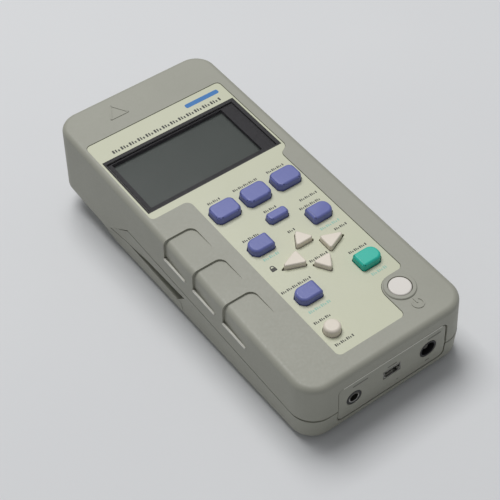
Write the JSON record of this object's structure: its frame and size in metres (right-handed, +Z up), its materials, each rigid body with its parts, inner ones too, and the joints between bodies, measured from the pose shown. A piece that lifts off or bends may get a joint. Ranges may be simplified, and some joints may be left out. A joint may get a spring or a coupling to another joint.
{
  "type": "optical power meter",
  "caption": "Hand-held optical power meter with a sloping face, wide display, keypad with a cursor pad, finger grips, end sockets, a fibre port and a fold-out tilt stand.",
  "frame": {"origin": "on the table under the middle of the meter", "axes": "+Z up, +Y towards the display end, +X to the right as the keypad is read"},
  "size_m": [0.0762, 0.1751, 0.0432],
  "materials": {
    "case_plastic": "fine moulded texture",
    "panel_plastic": "satin",
    "window_clear": "polished, tinted",
    "bezel_black": "matt",
    "display_glass": "satin",
    "board_green": "solder mask",
    "membrane_rubber": "matt",
    "key_violet": "satin",
    "key_green": "satin",
    "key_beige": "satin",
    "key_white": "satin",
    "plate_grey": "satin",
    "socket_black": "matt",
    "plated_metal": "bright plating",
    "cell_steel": "printed sleeve",
    "stand_plastic": "fine moulded texture",
    "foot_rubber": "matt"
  },
  "bodies": {
    "case": {"upper_case": "case_plastic", "lower_case": "case_plastic", "front_panel": "panel_plastic", "display_window": "window_clear", "lcd_bezel": "bezel_black", "lcd_module": "display_glass", "main_board": "board_green", "keypad_membrane": "membrane_rubber", "connector_plate": "plate_grey", "connector_board": "board_green", "phone_jack": "socket_black", "phone_sleeve": "plated_metal", "usb_socket": "plated_metal", "usb_tongue": "socket_black", "dc_jack": "socket_black", "dc_pin": "plated_metal", "optical_adapter": "plated_metal", "photodiode": "plated_metal", "batteries": "cell_steel", "battery_contacts": "plated_metal", "rubber_feet": "foot_rubber"},
    "key_first": {"key_first": "key_violet"},
    "key_second": {"key_second": "key_violet"},
    "key_third": {"key_third": "key_violet"},
    "key_bar": {"key_bar": "key_violet"},
    "key_left_far": {"key_left_far": "key_violet"},
    "key_right_far": {"key_right_far": "key_violet"},
    "key_left_near": {"key_left_near": "key_violet"},
    "key_right_near": {"key_right_near": "key_green"},
    "arrow_up": {"arrow_up": "key_beige"},
    "arrow_down": {"arrow_down": "key_beige"},
    "arrow_left": {"arrow_left": "key_beige"},
    "arrow_right": {"arrow_right": "key_beige"},
    "key_round": {"key_round": "key_beige"},
    "power_key": {"power_key": "key_white"},
    "stand": {"tilt_stand": "stand_plastic"},
    "cover": {"battery_cover": "case_plastic"}
  },
  "joints": [
    {"name": "key_first_press", "type": "slide", "parent": "case", "child": "key_first", "axis": [0, -0.0767, 0.9971], "range_m": [-0.001, 0], "stiffness_N_per_m": 800},
    {"name": "key_second_press", "type": "slide", "parent": "case", "child": "key_second", "axis": [0, -0.0767, 0.9971], "range_m": [-0.001, 0], "stiffness_N_per_m": 800},
    {"name": "key_third_press", "type": "slide", "parent": "case", "child": "key_third", "axis": [0, -0.0767, 0.9971], "range_m": [-0.001, 0], "stiffness_N_per_m": 800},
    {"name": "key_bar_press", "type": "slide", "parent": "case", "child": "key_bar", "axis": [0, -0.0767, 0.9971], "range_m": [-0.001, 0], "stiffness_N_per_m": 800},
    {"name": "key_left_far_press", "type": "slide", "parent": "case", "child": "key_left_far", "axis": [0, -0.0767, 0.9971], "range_m": [-0.001, 0], "stiffness_N_per_m": 800},
    {"name": "key_right_far_press", "type": "slide", "parent": "case", "child": "key_right_far", "axis": [0, -0.0767, 0.9971], "range_m": [-0.001, 0], "stiffness_N_per_m": 800},
    {"name": "key_left_near_press", "type": "slide", "parent": "case", "child": "key_left_near", "axis": [0, -0.0767, 0.9971], "range_m": [-0.001, 0], "stiffness_N_per_m": 800},
    {"name": "key_right_near_press", "type": "slide", "parent": "case", "child": "key_right_near", "axis": [0, -0.0767, 0.9971], "range_m": [-0.001, 0], "stiffness_N_per_m": 800},
    {"name": "arrow_up_press", "type": "slide", "parent": "case", "child": "arrow_up", "axis": [0, -0.0767, 0.9971], "range_m": [-0.001, 0], "stiffness_N_per_m": 800},
    {"name": "arrow_down_press", "type": "slide", "parent": "case", "child": "arrow_down", "axis": [0, -0.0767, 0.9971], "range_m": [-0.001, 0], "stiffness_N_per_m": 800},
    {"name": "arrow_left_press", "type": "slide", "parent": "case", "child": "arrow_left", "axis": [0, -0.0767, 0.9971], "range_m": [-0.001, 0], "stiffness_N_per_m": 800},
    {"name": "arrow_right_press", "type": "slide", "parent": "case", "child": "arrow_right", "axis": [0, -0.0767, 0.9971], "range_m": [-0.001, 0], "stiffness_N_per_m": 800},
    {"name": "key_round_press", "type": "slide", "parent": "case", "child": "key_round", "axis": [0, -0.0767, 0.9971], "range_m": [-0.001, 0], "stiffness_N_per_m": 800},
    {"name": "power_key_press", "type": "slide", "parent": "case", "child": "power_key", "axis": [0, -0.0767, 0.9971], "range_m": [-0.001, 0], "stiffness_N_per_m": 800},
    {"name": "stand_tilt", "type": "hinge", "parent": "case", "child": "stand", "pos_m": [0, 0.052, 0.0058], "axis": [1, 0, 0], "range_deg": [0, 60]},
    {"name": "cover_slide", "type": "slide", "parent": "case", "child": "cover", "axis": [0, 1, 0], "range_m": [0, 0.014]}
  ]
}
